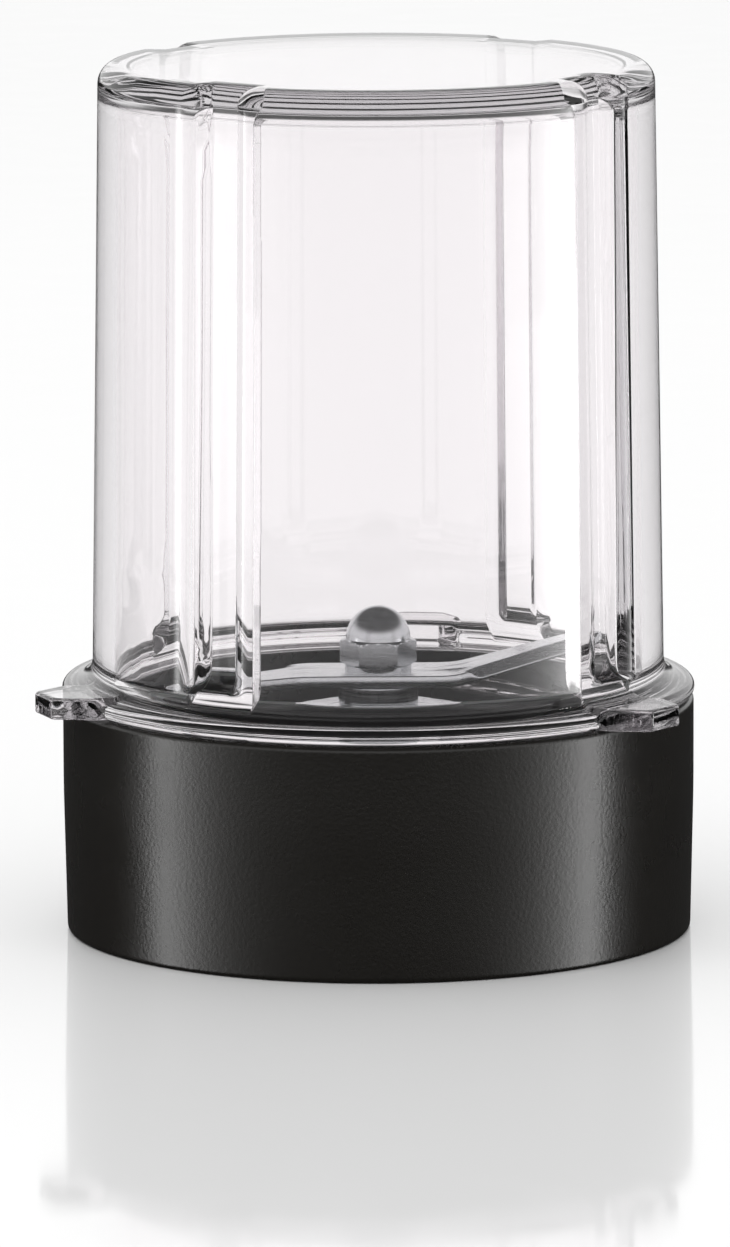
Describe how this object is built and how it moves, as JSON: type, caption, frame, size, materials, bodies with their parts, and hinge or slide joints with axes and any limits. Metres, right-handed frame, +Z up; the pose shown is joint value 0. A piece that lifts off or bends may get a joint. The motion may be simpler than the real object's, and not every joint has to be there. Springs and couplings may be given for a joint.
{
  "type": "personal blender grinding cup",
  "caption": "Clear fluted cup with locking tabs, mouth down, screwed into a round black blade base; a steel blade on a sealed shaft grinds what the cup holds.",
  "frame": {"origin": "centre of the blade base's foot, in the plane that it stands on", "axes": "+Z up along the shaft, -Y towards the front of the cup"},
  "size_m": [0.0853, 0.0876, 0.1131],
  "materials": {
    "clear_plastic": "clear polished",
    "black_plastic": "satin",
    "dark_plastic": "matte",
    "silicone": "soft matte",
    "black_rubber": "matte",
    "steel": "brushed",
    "bronze": "satin",
    "nylon": "matte"
  },
  "bodies": {
    "base": {"base_collar": "black_plastic", "blade_deck": "dark_plastic", "deck_screws": "steel", "bottom_cover": "dark_plastic", "cover_screws": "steel", "bearing_sleeve": "steel", "sleeve_o_ring": "black_rubber", "sleeve_washer": "steel", "sleeve_nut": "steel", "upper_bush": "bronze", "lower_bush": "bronze", "lip_seal": "black_rubber", "seal_cap": "steel"},
    "rotor": {"blade_shaft": "steel", "blade_spacer": "steel", "blade": "steel", "lock_washer": "steel", "blade_nut": "steel", "thrust_washer": "nylon", "retaining_clip": "steel", "drive_coupling": "dark_plastic", "coupling_insert": "bronze"},
    "seal": {"cup_gasket": "silicone"},
    "cup": {"cup": "clear_plastic"}
  },
  "joints": [
    {"name": "rotor_spin", "type": "hinge", "parent": "base", "child": "rotor", "pos_m": [0, 0, 0], "axis": [0, 0, 1], "continuous": true},
    {"name": "cup_lift", "type": "slide", "parent": "base", "child": "seal", "axis": [0, 0, 1], "range_m": [0, 0.01001]},
    {"name": "cup_turn", "type": "hinge", "parent": "seal", "child": "cup", "pos_m": [0, 0, 0], "axis": [0, 0, 1], "range_deg": [0, 240]}
  ],
  "couplings": [
    {"joint": "cup_lift", "follows": "cup_turn", "m_per_rad": 0.0023873}
  ]
}
